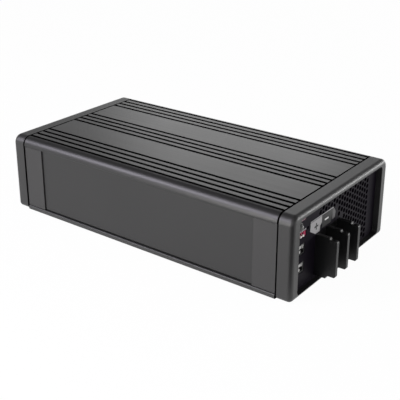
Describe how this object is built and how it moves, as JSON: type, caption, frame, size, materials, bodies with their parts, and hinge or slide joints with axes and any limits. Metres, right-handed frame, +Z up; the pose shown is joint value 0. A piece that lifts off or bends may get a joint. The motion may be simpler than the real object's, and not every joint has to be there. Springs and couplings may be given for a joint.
{
  "type": "battery charger",
  "caption": "Low black battery charger: grooved extruded case, rounded end bezels, barrier terminals with fins, mains inlet and cooling fan.",
  "frame": {"origin": "middle of the underside of the case", "axes": "+X towards the terminal end, +Y towards the right when one faces the terminal end, +Z up"},
  "size_m": [0.23, 0.113, 0.052],
  "materials": {
    "anodised_case": "black anodised extrusion, satin",
    "bezel_plastic": "moulded black plastic, fine texture",
    "plate_plastic": "moulded black plastic, satin",
    "painted_sheet": "black powder coat on steel sheet",
    "block_plastic": "black moulded thermoset",
    "zinc_steel": "bright zinc",
    "tinned_copper": "tinned copper",
    "lamp_resin": "milky resin",
    "red_plastic": "red moulded plastic",
    "white_plastic": "white moulded plastic",
    "board_laminate": "green solder mask",
    "fan_plastic": "black moulded plastic",
    "core_steel": "stacked core sheets",
    "copper_wire": "enamelled copper",
    "wire_sleeve": "wire sleeve",
    "brass_metal": "plain brass",
    "fuse_ceramic": "white ceramic tube",
    "yellow_plastic": "yellow capacitor case",
    "ferrite": "sintered ferrite",
    "can_aluminium": "sleeved aluminium can",
    "bar_aluminium": "mill finish"
  },
  "bodies": {
    "case": {"cover": "anodised_case", "base_plate": "anodised_case", "front_bezel": "bezel_plastic", "rear_bezel": "bezel_plastic", "front_panel": "painted_sheet", "rear_panel": "painted_sheet", "side_plate_front_left": "plate_plastic", "side_plate_front_right": "plate_plastic", "side_plate_rear_left": "plate_plastic", "side_plate_rear_right": "plate_plastic", "case_screws": "zinc_steel", "terminal_block": "block_plastic", "positive_tab": "tinned_copper", "negative_tab": "tinned_copper", "terminal_nuts": "zinc_steel", "clamp_washers": "zinc_steel", "terminal_screws": "zinc_steel", "status_lamp": "lamp_resin", "lamp_holder": "block_plastic", "switch_body": "red_plastic", "sensor_socket": "white_plastic", "remote_socket": "white_plastic", "socket_pins": "tinned_copper", "signal_board": "board_laminate", "inlet_body": "block_plastic", "inlet_pins": "tinned_copper", "inlet_screws": "zinc_steel", "fan_frame": "fan_plastic", "fan_stator": "core_steel", "fan_coils": "copper_wire", "fan_screws": "zinc_steel", "fan_lead": "wire_sleeve", "main_board": "board_laminate", "board_spacers": "brass_metal", "board_screws": "zinc_steel", "fuse": "fuse_ceramic", "fuse_clips": "brass_metal", "line_capacitor": "yellow_plastic", "line_choke_core": "ferrite", "line_choke_windings": "copper_wire", "boost_choke_core": "ferrite", "boost_choke_winding": "copper_wire", "bulk_capacitor": "can_aluminium", "transformer_core": "ferrite", "transformer_bobbin": "block_plastic", "transformer_winding": "copper_wire", "heat_bar_left": "bar_aluminium", "heat_bar_right": "bar_aluminium", "power_transistors": "block_plastic", "power_screws": "zinc_steel", "output_choke_core": "ferrite", "output_choke_winding": "copper_wire", "output_capacitors": "can_aluminium", "control_board": "board_laminate"},
    "rotor": {"fan_rotor": "fan_plastic"},
    "lever_left": {"switch_lever_left": "white_plastic"},
    "lever_right": {"switch_lever_right": "white_plastic"}
  },
  "joints": [
    {"name": "fan_spin", "type": "hinge", "parent": "case", "child": "rotor", "pos_m": [-0.096, -0.026, 0.02575], "axis": [1, 0, 0], "continuous": true},
    {"name": "left_lever_slide", "type": "slide", "parent": "case", "child": "lever_left", "axis": [0, 0, 1], "range_m": [0, 0.0011]},
    {"name": "right_lever_slide", "type": "slide", "parent": "case", "child": "lever_right", "axis": [0, 0, 1], "range_m": [0, 0.0011]}
  ]
}
